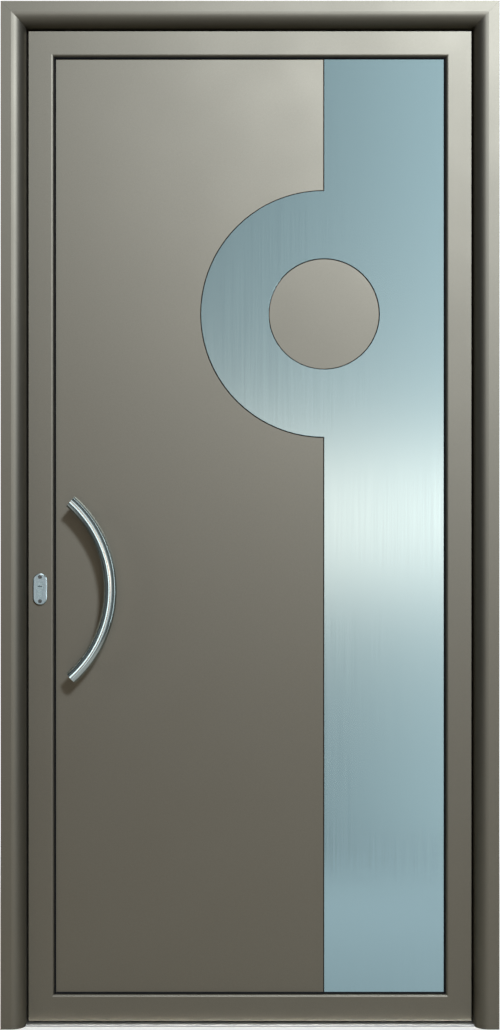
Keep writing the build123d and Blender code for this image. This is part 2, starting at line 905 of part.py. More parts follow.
def hinge_bushes():
    """Sleeves in the leaf's knuckles, each with a flange that turns on the frame's knuckle."""
    axis = (hinge_x(hinge_u), depth_y(hinge_v))
    bore = Circle(hinge_pin + hinge_pin_clearance)
    bushes = []
    for z in hinge_heights:
        top = z + hinge_flange_thickness / 2
        sleeve = along_z(Circle(hinge_bush) - bore, top, top + hinge_bush_length, *axis)
        bottom = top - hinge_flange_thickness
        flange = along_z(Circle(hinge_flange) - bore, bottom, top, *axis)
        bushes.append(sleeve + flange)
    return pair(bushes)


# Lock

def cylinder_screw_z():
    """Half-way up the bridge below the cam's slot."""
    return cylinder_z - cylinder_drop + cam_bridge / 2


def lock_faceplate():
    y = depth_y(hardware_depth)
    half = forend_width / 2
    plate = block(lock_x(leaf_inner_edge), lock_x(forend_seat), y - half, y + half,
                  forend_z - forend_length / 2, forend_z + forend_length / 2)
    plate -= lock_slot_cut(latch_z, latch_height, latch_thickness, 0, leaf_box)
    plate -= lock_slot_cut(bolt_z, bolt_height, bolt_thickness, 0, leaf_box)
    return plate - cylinder_screw_form(cylinder_screw_clearance)


def lock_case():
    """Steel case, open where bolts, follower, cylinder and its screw pass."""
    y = depth_y(hardware_depth)
    half = case_thickness / 2
    case = case_box(0)
    case -= block(lock_x(forend_seat + case_wall), lock_x(case_end - case_wall),
                  y - half + case_wall, y + half - case_wall,
                  case_z - case_height / 2 + case_wall, case_z + case_height / 2 - case_wall)
    case -= lock_slot_cut(latch_z, latch_height, latch_thickness, 0, cylinder_u - follower_radius)
    case -= lock_slot_cut(bolt_z, bolt_height, bolt_thickness, 0, cylinder_u - follower_radius)
    case -= cylinder_way(cylinder_hole_clearance / 2)
    bearing = follower_radius + spindle_clearance
    case -= along_y(Circle(bearing), y - half - thin, y + half + thin,
                    lock_x(cylinder_u), follower_z)
    return case - cylinder_screw_form(cylinder_screw_clearance)


def latch_bolt():
    """Spring latch: bevelled head, body, and a tail with the lug that the follower pulls."""
    y = depth_y(hardware_depth)
    half = latch_thickness / 2
    tip = lock_x(leaf_inner_edge - latch_throw)
    back = tip + latch_throw + latch_body
    low = latch_z - latch_height / 2
    outline = Polyline((tip, y + half), (tip, y + half - wall), (tip + latch_throw, y - half),
                       (back, y - half), (back, y + half), close=True)
    body = along_z(make_face(outline), low, low + latch_height)
    lug_foot = follower_radius + wall
    lug = lock_x(cylinder_u) + follower_flank(lug_foot) + follower_play
    top = low + latch_height
    tail = latch_tail
    body += block(back, lug + latch_lug, y - tail, y + tail, top - tail, top)
    body += block(lug, lug + latch_lug, y - tail, y + tail, follower_z + lug_foot, top)
    return body


def follower_flank(height):
    """Where the arm's lug side stands at rest, at a height above the follower's axis."""
    angle = radians(follower_arm_angle)
    return follower_arm_width / 2 / cos(angle) - height * tan(angle)


def lock_follower():
    """Nut with a square hole and the arm that draws the latch."""
    y = depth_y(hardware_depth)
    half = case_thickness / 2
    hub = Circle(follower_radius)
    hole = Rectangle(spindle + 2 * spindle_clearance, spindle + 2 * spindle_clearance)
    arm = Rot(0, 0, follower_arm_angle) * area(-follower_arm_width / 2, 0,
                                               follower_arm_width / 2, follower_arm)
    place = (lock_x(cylinder_u), follower_z)
    nut = along_y(hub - hole, y - half, y + half, *place)
    half = follower_arm_thickness / 2
    return nut + along_y(arm - hole, y - half, y + half, *place)


def dead_bolt():
    y = depth_y(hardware_depth)
    half = bolt_thickness / 2
    length = bolt_throw + bolt_tail
    return block(lock_x(leaf_inner_edge), lock_x(leaf_inner_edge + length), y - half, y + half,
                 bolt_z - bolt_height / 2, bolt_z + bolt_height / 2)


def cylinder_body():
    """Profile cylinder with a bore for each plug and a slot for the cam."""
    y = depth_y(hardware_depth)
    x = lock_x(cylinder_u)
    body = along_y(euro_profile(), y - cylinder_outside, y + cylinder_inside, x, cylinder_z)
    body -= along_y(Circle(plug_radius + plug_clearance), y - cylinder_outside - thin,
                    y + cylinder_inside + thin, x, cylinder_z)
    half = cam_slot / 2
    bridge = cylinder_z - cylinder_drop + cam_bridge
    body -= block(x - cam_radius, x + cam_radius, y - half, y + half,
                  bridge, cylinder_z + cam_radius)
    return body - cylinder_screw_form(cylinder_screw_clearance)


def cylinder_plug():
    """Outside plug, inside plug and the cam between them."""
    y = depth_y(hardware_depth)
    x = lock_x(cylinder_u)
    plug = Circle(plug_radius)
    half = cam_thickness / 2
    outer = along_y(plug, y - cylinder_outside, y - half, x, cylinder_z)
    inner = along_y(plug, y + half, y + cylinder_inside, x, cylinder_z)
    keyway = Rectangle(keyway_width, keyway_height)
    outer -= along_y(keyway, y - cylinder_outside, y - cylinder_outside + keyway_depth,
                     x, cylinder_z)
    inner -= along_y(keyway, y + cylinder_inside - keyway_depth, y + cylinder_inside,
                     x, cylinder_z)
    finger = area(-cam_width / 2, -cam_radius + cam_gap, cam_width / 2, 0)
    cam = along_y(Circle(cam_hub) + finger, y - half, y + half, x, cylinder_z)
    return pair([outer, inner, cam])


def cylinder_screw_form(clearance=0.0):
    """Countersunk screw from the faceplate through the cylinder, or its hole when grown."""
    head = cylinder_screw_head + clearance
    shank = cylinder_screw + clearance
    sink = cylinder_screw_head_depth + clearance
    length = cylinder_u + cylinder_tail - leaf_inner_edge + clearance
    outline = Polyline((0, -clearance), (head, -clearance), (shank, sink),
                       (shank, length), (0, length), close=True)
    turned = revolve(Plane.XZ * make_face(outline), Axis.Z)
    point = (lock_x(leaf_inner_edge), depth_y(hardware_depth), cylinder_screw_z())
    return Plane(origin=point, z_dir=right) * turned


def strike_plate():
    y = depth_y(hardware_depth)
    half = forend_width / 2
    front = frame_inner_width
    plate = block(lock_x(front - forend_thickness), lock_x(front), y - half, y + half,
                  strike_z - strike_length / 2, strike_z + strike_length / 2)
    plate -= lock_slot_cut(latch_z, latch_height, latch_thickness, 0, leaf_box)
    plate -= lock_slot_cut(bolt_z, bolt_height, bolt_thickness, 0, leaf_box)
    return plate


# Furniture

def outer_escutcheon():
    """Oval rose with a bevelled face and the cylinder's profile hole."""
    y = depth_y(outside_rose_face)
    outline = Rot(0, 0, 90) * SlotOverall(outer_rose_height, outer_rose_width)
    rose = along_y(outline, y, depth_y(leaf_face), lock_x(cylinder_u), outer_rose_z)
    front = rose.faces().sort_by(Axis.Y)[0]
    rose = chamfer(front.edges(), outer_rose_bevel)
    return rose - cylinder_way(cylinder_hole_clearance / 2)


def inside_plate():
    """Long narrow plate inside, for the lever and the cylinder."""
    face = depth_y(frame_depth)
    x = lock_x(cylinder_u)
    outline = Rot(0, 0, 90) * SlotOverall(inside_plate_height, inside_plate_width)
    plate = along_y(outline, face, face + inside_plate_thickness, x, inside_plate_z)
    front = plate.faces().sort_by(Axis.Y)[-1]
    plate = chamfer(front.edges(), inside_plate_bevel)
    plate -= cylinder_way(cylinder_hole_clearance / 2)
    plate -= along_y(Circle(lever_radius + lever_collar_gap), face - thin,
                     face + 2 * inside_plate_thickness, x, follower_z)
    return plate


def inside_lever():
    """Mitred round lever with a square socket for the spindle."""
    x = lock_x(cylinder_u)
    start = depth_y(frame_depth + inside_plate_thickness - lever_seat)
    grip = depth_y(frame_depth + inside_plate_thickness + lever_reach)
    path = Polyline((x, start, follower_z), (x, grip, follower_z),
                    (x + lever_length, grip, follower_z))
    profile = Plane(origin=(x, start, follower_z), z_dir=(0, 1, 0)) * Circle(lever_radius)
    lever = sweep(profile, path, transition=Transition.RIGHT)
    end = lever.faces().sort_by(Axis.X)[-1]
    lever = chamfer(end.edges(), lever_end_bevel)
    socket = Rectangle(spindle + 2 * spindle_clearance, spindle + 2 * spindle_clearance)
    return lever - along_y(socket, start - thin, start + spindle_grip, x, follower_z)


def lever_spindle():
    start = depth_y(hardware_depth) - case_thickness / 2
    end = depth_y(frame_depth + inside_plate_thickness - lever_seat) + spindle_grip
    return along_y(Rectangle(spindle, spindle), start, end - spindle_clearance,
                   lock_x(cylinder_u), follower_z)


def handle_post_places():
    """Post centres on the panel, near both ends of the bow."""
    places = []
    for way in (-1, 1):
        angle = radians(way * handle_post_angle)
        x = handle_centre_x + handle_bow_radius * cos(angle)
        places.append((x, handle_mid_z + handle_bow_radius * sin(angle)))
    return places


def bow():
    """Round bar turned about the bow's centre, from its top end to its lower one."""
    y = depth_y(handle_v)
    axis = Axis((handle_centre_x, y, handle_mid_z), (0, 1, 0))
    angle = radians(handle_half_angle)
    top = (handle_centre_x + handle_bow_radius * cos(angle), y,
           handle_mid_z + handle_bow_radius * sin(angle))
    profile = Plane(origin=top, z_dir=(sin(angle), 0, -cos(angle))) * Circle(handle_tube)
    return revolve(profile, axis, 2 * handle_half_angle)


def pull_handle():
    """Bowed tube, closed at its ends, and two posts whose saddle ends seat on its back."""
    tube = bow()
    pieces = [tube]
    face = depth_y(panel_face)
    reach = depth_y(panel_face - handle_bolt_reach)
    for x, z in handle_post_places():
        post = along_y(Circle(handle_post), depth_y(handle_v), face, x, z) - tube
        pieces.append(post - along_y(Circle(handle_thread), reach, face, x, z))
    return pair(pieces)


def pull_bolts():
    """Hexagon bolts from inside the house through the panel into the posts."""
    bolts = []
    back = depth_y(panel_back)
    reach = depth_y(panel_face - handle_bolt_reach) + bolt_clearance
    hexagon = RegularPolygon(handle_bolt_head, 6)
    for x, z in handle_post_places():
        head = along_y(hexagon, back, back + handle_bolt_head_height, x, z)
        bolts.append(head + along_y(Circle(handle_bolt), reach, back, x, z))
    return pair(bolts)


def build():
    """Every sub-part by its node name."""
    nodes = {}
    for member in ("lock", "hinge"):
        nodes[f"frame_{member}_jamb_outer"] = frame_member(frame_outer_section(), member)
        nodes[f"frame_{member}_jamb_inner"] = frame_jamb_inner(member)
    nodes["frame_head_outer"] = frame_member(frame_outer_section(), "head")
    nodes["frame_head_inner"] = frame_member(frame_inner_section(), "head")
    nodes["frame_thermal_breaks"] = frame_thermal_breaks()
    nodes["frame_corner_cleats"] = frame_corner_cleats()
    nodes["frame_stop_gasket"] = frame_gasket()
    outer, insulator, inner = threshold_parts()
    nodes["threshold_outer"] = outer
    nodes["threshold_break"] = insulator
    nodes["threshold_inner"] = inner
    nodes["strike_plate"] = strike_plate()
    for name, z in zip(("bottom", "middle", "top"), hinge_heights):
        nodes[f"hinge_{name}_frame_part"] = hinge_half("frame", z)
        nodes[f"hinge_{name}_leaf_part"] = hinge_half("leaf", z)
    nodes["hinge_pins"] = hinge_pins()
    nodes["hinge_bushes"] = hinge_bushes()
    names = {"lock": "lock_stile", "hinge": "hinge_stile", "top": "top_rail",
             "bottom": "bottom_rail"}
    for member, name in names.items():
        nodes[f"leaf_{name}_outer"] = leaf_outer(member)
        nodes[f"leaf_{name}_inner"] = leaf_inner(member)
    nodes["leaf_thermal_breaks"] = leaf_thermal_breaks()
    nodes["leaf_corner_cleats"] = leaf_corner_cleats()
    sheet, core, inner_sheet = panel_layers()
    nodes["panel_outer_sheet"] = sheet
    nodes["panel_core"] = core
    nodes["panel_inner_sheet"] = inner_sheet
    nodes["panel_inlay"] = inlay()
    nodes["panel_outer_gasket"] = ring_of(outer_gasket_section())
    nodes["panel_inner_gasket"] = ring_of(inner_gasket_section())
    nodes["panel_beads"] = pair(panel_beads())
    holder, brush = bottom_seal()
    nodes["bottom_seal_holder"] = holder
    nodes["bottom_seal_brush"] = brush
    nodes["lock_case"] = lock_case()
    nodes["lock_faceplate"] = lock_faceplate()
    nodes["latch_bolt"] = latch_bolt()
    nodes["dead_bolt"] = dead_bolt()
    nodes["lock_follower"] = lock_follower()
    nodes["cylinder_body"] = cylinder_body()
    nodes["cylinder_plug"] = cylinder_plug()
    nodes["cylinder_screw"] = cylinder_screw_form()
    nodes["outer_escutcheon"] = outer_escutcheon()
    nodes["inside_plate"] = inside_plate()
    nodes["inside_lever"] = inside_lever()
    nodes["lever_spindle"] = lever_spindle()
    nodes["pull_handle"] = pull_handle()
    nodes["pull_bolts"] = pull_bolts()
    return nodes


os.makedirs("parts", exist_ok=True)
for node, shape in build().items():
    export_step(shape, f"parts/{node}.step")
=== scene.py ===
import bpy
import bmesh
import json
from math import cos, pi, radians, sin
from mathutils import Matrix, Vector


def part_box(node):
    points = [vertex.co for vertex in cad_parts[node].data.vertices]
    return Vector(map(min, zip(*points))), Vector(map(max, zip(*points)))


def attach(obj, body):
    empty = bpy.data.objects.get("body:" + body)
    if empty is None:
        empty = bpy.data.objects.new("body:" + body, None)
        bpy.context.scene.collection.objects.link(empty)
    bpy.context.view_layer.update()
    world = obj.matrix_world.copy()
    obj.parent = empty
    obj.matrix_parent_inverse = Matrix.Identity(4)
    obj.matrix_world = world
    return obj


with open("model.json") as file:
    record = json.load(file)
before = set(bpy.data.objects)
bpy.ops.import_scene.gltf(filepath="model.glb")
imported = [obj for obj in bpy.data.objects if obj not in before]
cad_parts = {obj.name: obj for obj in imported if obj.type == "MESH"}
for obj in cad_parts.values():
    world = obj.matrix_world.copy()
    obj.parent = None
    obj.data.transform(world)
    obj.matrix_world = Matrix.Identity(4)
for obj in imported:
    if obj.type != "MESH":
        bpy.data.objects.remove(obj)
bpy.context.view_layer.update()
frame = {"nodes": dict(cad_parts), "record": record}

# Lengths are in metres, angles in degrees, and powers in watts, unless a comment says otherwise.

# Places read from the frame
FACE_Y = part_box("frame_head_outer")[0].y
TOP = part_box("frame_head_outer")[1].z
HALF_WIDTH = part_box("frame_head_outer")[1].x
INSIDE_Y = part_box("leaf_lock_stile_inner")[1].y

# Camera
CAMERA_HEIGHT = 1.0505
CAMERA_DISTANCE = 3.4        # from the frame's outside face
PICTURE_HEIGHT = 2.1026      # what the picture's height spans at that face
SENSOR = 36.0                # millimetres

WHITE = (1.0, 1.0, 1.0)

# World seen from the object: stops of (angle, level). Azimuth is 0 towards the camera and
# positive to the camera's right; elevation is 0 on the horizon
AROUND = [(-180, 0.5), (-120, 0.5), (-98, 0.02), (-60, 0.01), (-30, 0.04), (-12, 0.08),
          (-6, 0.3), (0, 0.24), (3, 0.22), (8, 0.88), (14, 1.02), (20, 0.1), (45, 0.01),
          (98, 0.02), (120, 0.5), (180, 0.5)]
UPRIGHT = [(-50, 0.05), (-22, 0.9), (-4, 0.9), (2, 1.0), (22, 1.0), (45, 0.05)]
OVER_AND_UNDER = [(-90, 0.4), (-44, 0.4), (-30, 0.0), (52, 0.0), (72, 0.6), (90, 0.6)]
WINDOW_AROUND = [(-20, 0.0), (-8, 1.0), (12, 1.06), (24, 0.0)]
WINDOW_UPRIGHT = [(-10, 0.0), (-5.4, 0.06), (-3.6, 0.1), (-2.3, 0.5), (-1.3, 1.28),
                  (0.9, 1.5), (1.8, 0.6), (3.2, 0.13), (6, 0.06), (12, 0.0)]
WINDOW_REACH = 30.0          # elevation at the ends of the window's upright ramp
ROOM_TINT = (0.95, 1.0, 1.0)
WINDOW_TINT = (1.0, 0.72, 0.58)
BEHIND = 0.3                 # Y part of a direction beyond which mirrored rays see white

# Floor
FLOOR_LIT = 1.0              # it begins to fade this far from the door's middle
FLOOR_REACH = 2.4
FLOOR_SEEN = (0.62, 0.57, 0.47)      # to the camera and in mirrors near it
FLOOR_DIM = (0.09, 0.07, 0.045)      # to other rays
FLOOR_CONTRAST = 0.02
FLOOR_CLOUDS = 3.0           # noise scale
FLOOR_ROUGHNESS = 0.8
FLOOR_GLOW = 0.5             # to the camera only
FLOOR_GLOW_SHADE = (0.97, 0.97, 0.97)
MIRROR_NEAR = 1.1            # glossy rays up to this long see the pale floor
MIRROR_FAR = 2.2             # and beyond this the dim one

# Pieces that some lamps reach or leave out
STEEL_PIECES = ("panel_inlay", "pull_handle", "outer_escutcheon", "cylinder_body",
                "cylinder_plug", "rose_screws")
BEVELLED_PIECES = ("panel_inlay", "outer_escutcheon", "cylinder_body")
ROSE_PIECES = ("outer_escutcheon", "cylinder_body", "cylinder_plug")
HINGE_SIDE_PIECES = ("frame_hinge_jamb_outer", "leaf_hinge_stile_outer")

# Lamps of the room: name, size, place, what it faces, power, tint, pieces that it leaves out
ROOM_LAMPS = (
    ("key", (1.0, 1.0), (1.85, -6.8, 4.6), (0.0, 0.0, 1.05), 475.0, (0.87, 1.0, 1.23),
     STEEL_PIECES),
    ("inside_key", (1.5, 1.5), (3.0, 6.0, 4.2), (0.0, 0.0, 1.0), 480.0, WHITE, ("floor",)),
    ("inside_fill", (2.0, 2.0), (-4.5, 3.6, 2.6), (0.0, 0.4, 1.0), 330.0, WHITE, ("floor",)),
    ("side_fill", (2.5, 2.5), (-6.0, -3.6, 2.0), (0.0, 0.0, 1.0), 60.0, WHITE,
     STEEL_PIECES + ("floor",) + HINGE_SIDE_PIECES),
)

# Lamps at both sides that only the inlay mirrors, seen from the side or on the open leaf
INLAY_LAMP_SIZE = (4.5, 3.0)
INLAY_LAMP_PLACES = (("inlay_left", -5.5), ("inlay_right", 5.5))
INLAY_LAMP_Y, INLAY_LAMP_Z = -3.4, 1.3
INLAY_LAMP_AIM = (0.4, 0.3, 1.0)
INLAY_LAMP_LEVEL = 0.4

# Strips that only the pull handle reflects: (side, degrees from the camera, width, level)
STRIPS = ((-1, 22, 17, 1.2), (1, 30, 12, 0.4), (1, 82, 9, 1.0), (-1, 64, 44, 0.09),
          (1, 55, 24, 0.12))
STRIP_REACH = 3.0            # from the handle's middle
STRIP_TILTS = (-48, -24, 0, 24, 48)
STRIP_HALF_BEND = 12.5       # half of the bend that one straight lamp stands for
STRIP_TINT = (0.88, 1.0, 1.02)

# Lamps beside and above the door that show in the bevels of the steel
EDGE_SIZE = (3.0, 0.8)
EDGE_LEVEL = 4.0
EDGE_AIM = (0.2, 0.0, 1.1)
RIGHT_EDGE_PLACE = (3.0, -0.45, 1.2)
RIGHT_EDGE_LOOKS = (-1.0, 0.1, 0.0)
TOP_EDGE_PLACE = (0.2, -0.45, 4.4)

# Lamps for the sill and the escutcheon alone
SILL_LAMP = ("sill_fill", (1.4, 0.3), (0.0, -1.3, 1.6), (0.0, 0.0, 0.0), 45.0, (1.0, 0.96, 0.9))
ROSE_SIZE = (0.8, 0.8)
ROSE_PLACE = (-0.81, -2.98, 0.77)
ROSE_AIM = (-0.432, 0.0, 0.898)
ROSE_LEVEL = 0.36
ROSE_TINT = (0.68, 1.0, 1.14)

# Base colours of the finishes that show most
TAUPE = (0.213, 0.188, 0.137)
INLAY_STEEL = (0.605, 0.85, 0.93)
HANDLE_STEEL = (0.72, 0.8, 0.8)
FURNITURE_STEEL = (0.56, 0.7, 0.76)

# Where the finishes' noise has its usual low, middle and high values
NOISE_LOW, NOISE_MIDDLE, NOISE_HIGH = 0.3, 0.5, 0.7

# Powder coat, with noise scales in features per metre
COAT_METALLIC = 0.92
COAT_DETAIL = 2.0
FLAKE_SCALE = 1400.0
FLAKE_CONTRAST = 0.08
PATCH_SCALE = 6.0
PATCH_CONTRAST = 0.015
PEEL_SCALE = 900.0
PEEL_DEPTH = 0.00002

# Small screws with a cross recess
SCREW_SEGMENTS = 48
SCREW_RADIUS = 0.0040
SCREW_PROUD = 0.0010
SCREW_SINK = 0.0008
SCREW_FOOT = 0.8             # radius under the plate's face, as a share of the head's
CROWN_EDGE = 0.86            # radius where the crown begins, likewise
CROWN_RISE = 0.8             # its height, as a share of how proud the head is
CROSS_LONG = 0.0029
CROSS_WIDE = 0.0011
CROSS_TAPER = 0.9            # the recess's size at its wall's foot, as a share of its size above
CROSS_FOOT = 0.4             # height of the wall's foot, as a share of how proud the head is
CROSS_MIDDLE = 0.05          # height of its deepest point, likewise

# Plates with two screws: piece, body, plate, distance from the plate's ends, where they face
PLATE_SCREWS = (
    ("rose_screws", "leaf", "outer_escutcheon", 0.007, (0, -1, 0)),
    ("inside_plate_screws", "leaf", "inside_plate", 0.011, (0, 1, 0)),
    ("strike_screws", "frame", "strike_plate", 0.010, (1, 0, 0)),
    ("faceplate_screws", "leaf", "lock_faceplate", 0.009, (-1, 0, 0)),
)

# Screws of the hinges
HINGE_PLATE = 0.005          # how far a hinge's plates stand off the inside face
HINGE_SCREW_GAP = 0.035      # from a hinge's middle, up and down
HINGE_SCREWS_X = (("frame", 0.4975), ("leaf", 0.4585))
HINGES = ("bottom", "middle", "top")

# Seams along the mitres
SEAM_HALF = 0.00015          # half its width
SEAM_PROUD = 0.00003
SEAM_INSET = 0.0004          # keeps a seam's square end inside the corner
FRAME_FLAT = 0.021           # how far a seam runs in from its corner, in X and in Z alike
FRAME_INNER_FLAT = 0.0275
LEAF_INNER_FLAT = 0.0612
LEAF_FOOT_FLAT = 0.042

# Black bead round the inlay: partly a sealing joint, partly painted shade standing in for the
# shadow lines that the raised inlay casts at its edges
BEAD_WIDE = 0.0018
BEAD_HIGH = 0.0009
BEAD_LAP = 0.0001            # into the inlay's edge
BEAD_SINK = 0.0002           # into the panel's face
BEAD_RIM = 0.0001            # thickness at its outer edge
BEAD_SLOPE = (0.5, 0.6)      # a point on its slope, as shares of the width and the height
RING_OUTER = 0.254
RING_INNER = 0.1147
RING_DROP = 0.6344           # top of the frame to the ring's centre
ARC_STEPS = 96               # in half a turn


def colour(red, green, blue):
    return (red, green, blue, 1.0)


class Graph:
    """Short ways to add nodes to a node tree."""

    def __init__(self, tree):
        self.nodes = tree.nodes
        self.links = tree.links

    def math(self, operation, *values):
        """Math node: each value is a number or an output."""
        node = self.nodes.new("ShaderNodeMath")
        node.operation = operation
        for socket, value in zip(node.inputs, values):
            if isinstance(value, (int, float)):
                socket.default_value = value
            else:
                self.links.new(value, socket)
        return node.outputs["Value"]

    def fade(self, value, start, end):
        """0 at start and 1 at end, smooth between them."""
        node = self.nodes.new("ShaderNodeMapRange")
        node.interpolation_type = "SMOOTHSTEP"
        node.inputs["From Min"].default_value = start
        node.inputs["From Max"].default_value = end
        self.links.new(value, node.inputs["Value"])
        return node.outputs["Result"]

    def ramp(self, value, stops, interpolation="LINEAR"):
        """Colour ramp through (position, colour) stops."""
        node = self.nodes.new("ShaderNodeValToRGB")
        node.color_ramp.interpolation = interpolation
        elements = node.color_ramp.elements
        for element, (position, shade) in zip(elements, (stops[0], stops[-1])):
            element.position = position
            element.color = shade
        for position, shade in stops[1:-1]:
            elements.new(position).color = shade
        self.links.new(value, node.inputs["Fac"])
        return node.outputs["Color"]


class Finish(Graph):
    """A material with a Principled shader."""

    def __init__(self, name):
        self.name = name
        self.material = bpy.data.materials.new(name)
        self.material.use_nodes = True
        super().__init__(self.material.node_tree)
        self.shader = self.nodes["Principled BSDF"]
        self.place = self.nodes.new("ShaderNodeTexCoord").outputs["Object"]

    def set(self, **values):
        for name, value in values.items():
            self.shader.inputs[name.replace("_", " ").title()].default_value = value
        return self

    def stretch(self, x, y, z):
        """Object coordinates scaled by these numbers."""
        node = self.nodes.new("ShaderNodeMapping")
        node.inputs["Scale"].default_value = (x, y, z)
        self.links.new(self.place, node.inputs["Vector"])
        return node.outputs["Vector"]

    def noise(self, scale, detail=3.0, vector=None):
        node = self.nodes.new("ShaderNodeTexNoise")
        node.inputs["Scale"].default_value = scale
        node.inputs["Detail"].default_value = detail
        self.links.new(vector or self.place, node.inputs["Vector"])
        return node.outputs["Fac"]

    def spread(self, value, low, high):
        """Noise value mapped to run from low to high."""
        node = self.nodes.new("ShaderNodeMapRange")
        node.inputs["From Min"].default_value = NOISE_LOW
        node.inputs["From Max"].default_value = NOISE_HIGH
        node.inputs["To Min"].default_value = low
        node.inputs["To Max"].default_value = high
        self.links.new(value, node.inputs["Value"])
        return node.outputs["Result"]

    def feed(self, output, socket):
        self.links.new(output, self.shader.inputs[socket])
        return self

    def bump(self, height, depth):
        """Surface relief of this depth. Returns the finish."""
        node = self.nodes.new("ShaderNodeBump")
        node.inputs["Distance"].default_value = depth
        node.inputs["Strength"].default_value = 1.0
        self.links.new(height, node.inputs["Height"])
        return self.feed(node.outputs["Normal"], "Normal")


def shades(base, dark, light):
    """Ramp stops around a base colour."""
    return [(NOISE_LOW, colour(*[part * dark for part in base])),
            (NOISE_MIDDLE, colour(*base)),
            (NOISE_HIGH, colour(*[part * light for part in base]))]


def powder_coat(name, base, roughness):
    """Metallic powder coat: fine orange peel with flakes of slightly different shade."""
    finish = Finish(name).set(metallic=COAT_METALLIC)
    flakes = finish.ramp(finish.noise(FLAKE_SCALE, COAT_DETAIL),
                         shades(base, 1.0 - FLAKE_CONTRAST, 1.0 + FLAKE_CONTRAST))
    finish.feed(flakes, "Base Color")
    patches = finish.noise(PATCH_SCALE, COAT_DETAIL)
    finish.feed(finish.spread(patches, roughness - PATCH_CONTRAST, roughness + PATCH_CONTRAST),
                "Roughness")
    return finish.bump(finish.noise(PEEL_SCALE, COAT_DETAIL), PEEL_DEPTH)


def brushed(name, base, grain, roughness, contrast=0.05, anisotropic=0.0, depth=0.000002):
    """Metal ground along one axis: grain is the noise's scale along X, Y and Z."""
    finish = Finish(name).set(metallic=1.0, anisotropic=anisotropic)
    lines = finish.noise(scale=1.0, detail=4.0, vector=finish.stretch(*grain))
    finish.feed(finish.ramp(lines, shades(base, 1.0 - contrast, 1.0 + contrast)), "Base Color")
    finish.feed(finish.spread(lines, roughness - contrast, roughness + contrast), "Roughness")
    return finish.bump(lines, depth)


def moulded(name, base, roughness, specular=0.5):
    """Rubber or plastic with a fine matt skin and wide dull patches."""
    finish = Finish(name)
    finish.shader.inputs["Specular IOR Level"].default_value = specular
    skin = finish.noise(scale=700.0)
    finish.feed(finish.ramp(skin, shades(base, dark=0.8, light=1.25)), "Base Color")
    patches = finish.noise(scale=20.0)
    finish.feed(finish.spread(patches, low=roughness - 0.06, high=roughness + 0.06), "Roughness")
    return finish.bump(skin, depth=0.00003)


def plated(name, base, roughness):
    """Plated or ground metal with faint clouding."""
    finish = Finish(name).set(metallic=1.0)
    clouds = finish.noise(scale=60.0, detail=4.0)
    finish.feed(finish.ramp(clouds, shades(base, dark=0.92, light=1.06)), "Base Color")
    finish.feed(finish.spread(clouds, low=roughness - 0.05, high=roughness + 0.07), "Roughness")
    return finish.bump(finish.noise(scale=1500.0, detail=2.0), depth=0.00001)


def pile(name, base):
    """Dense brush pile with upright hairs."""
    finish = Finish(name).set(roughness=0.9)
    hairs = finish.noise(scale=1.0, vector=finish.stretch(x=1500.0, y=1500.0, z=40.0))
    finish.feed(finish.ramp(hairs, shades(base, dark=0.5, light=1.8)), "Base Color")
    return finish.bump(hairs, depth=0.0002)


def foam(name, base):
    """Insulating foam with fine cells."""
    finish = Finish(name).set(roughness=0.95)
    cells = finish.noise(scale=1200.0, detail=4.0)
    finish.feed(finish.ramp(cells, shades(base, dark=0.85, light=1.1)), "Base Color")
    return finish.bump(cells, depth=0.0002)


finishes = {finish.name: finish.material for finish in (
    powder_coat("powder_coat", TAUPE, roughness=0.5),
    powder_coat("panel_coat", TAUPE, roughness=0.49),
    powder_coat("hinge_coat", TAUPE, roughness=0.5),
    brushed("mill_aluminium", (0.78, 0.78, 0.77), grain=(3.0, 900.0, 900.0), roughness=0.35),
    plated("cleat_aluminium", (0.7, 0.7, 0.7), roughness=0.5),
    brushed("inlay_stainless", INLAY_STEEL, grain=(500.0, 500.0, 5.0), roughness=0.2,
            contrast=0.02, anisotropic=0.7),
    brushed("handle_stainless", HANDLE_STEEL, grain=(700.0, 700.0, 90.0), roughness=0.12,
            contrast=0.03),
    brushed("plate_stainless", (0.6, 0.61, 0.62), grain=(900.0, 900.0, 6.0), roughness=0.3),
    brushed("furniture_stainless", FURNITURE_STEEL, grain=(900.0, 900.0, 12.0), roughness=0.3),
    plated("nickel_brass", (0.55, 0.7, 0.75), roughness=0.3),
    plated("zinc_steel", (0.42, 0.45, 0.47), roughness=0.38),
    plated("pin_steel", (0.6, 0.6, 0.6), roughness=0.25),
    moulded("bush_plastic", (0.03, 0.03, 0.03), roughness=0.45),
    moulded("break_plastic", (0.02, 0.02, 0.02), roughness=0.6),
    moulded("black_gasket", (0.004, 0.004, 0.004), roughness=0.7, specular=0.15),
    pile("black_brush", (0.02, 0.02, 0.02)),
    foam("foam_core", (0.75, 0.68, 0.42)),
)}


def dress_nodes():
    """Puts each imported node's own finish in its material slots."""
    slot_of = {s["node"]: s["material_slot"] for s in frame["record"]["subparts"]}
    for name, node in frame["nodes"].items():
        for holder in node.material_slots:
            holder.material = finishes[slot_of[name]]


def soft_light(name, size, place, target, power, tint=WHITE):
    """Rectangular soft box aimed at a point."""
    data = bpy.data.lights.new(name, "AREA")
    data.shape = "RECTANGLE"
    data.size, data.size_y = size
    data.energy = power
    data.color = tint
    light = bpy.data.objects.new(name, data)
    bpy.context.scene.collection.objects.link(light)
    light.location = place
    aim = Vector(target) - Vector(place)
    light.rotation_euler = aim.to_track_quat("-Z", "Y").to_euler()
    return light


def lamp_power(level, size):
    """Power at which a rectangular lamp's face has this radiance."""
    return level * pi * size[0] * size[1]


def not_for(names, light):
    """Keeps a light off these objects."""
    spared = bpy.data.collections.new("not_lit_by_" + light.name)
    for name in names:
        spared.objects.link(frame["nodes"].get(name) or bpy.data.objects[name])
    light.light_linking.receiver_collection = spared
    for entry in spared.collection_objects:
        entry.light_linking.link_state = "EXCLUDE"


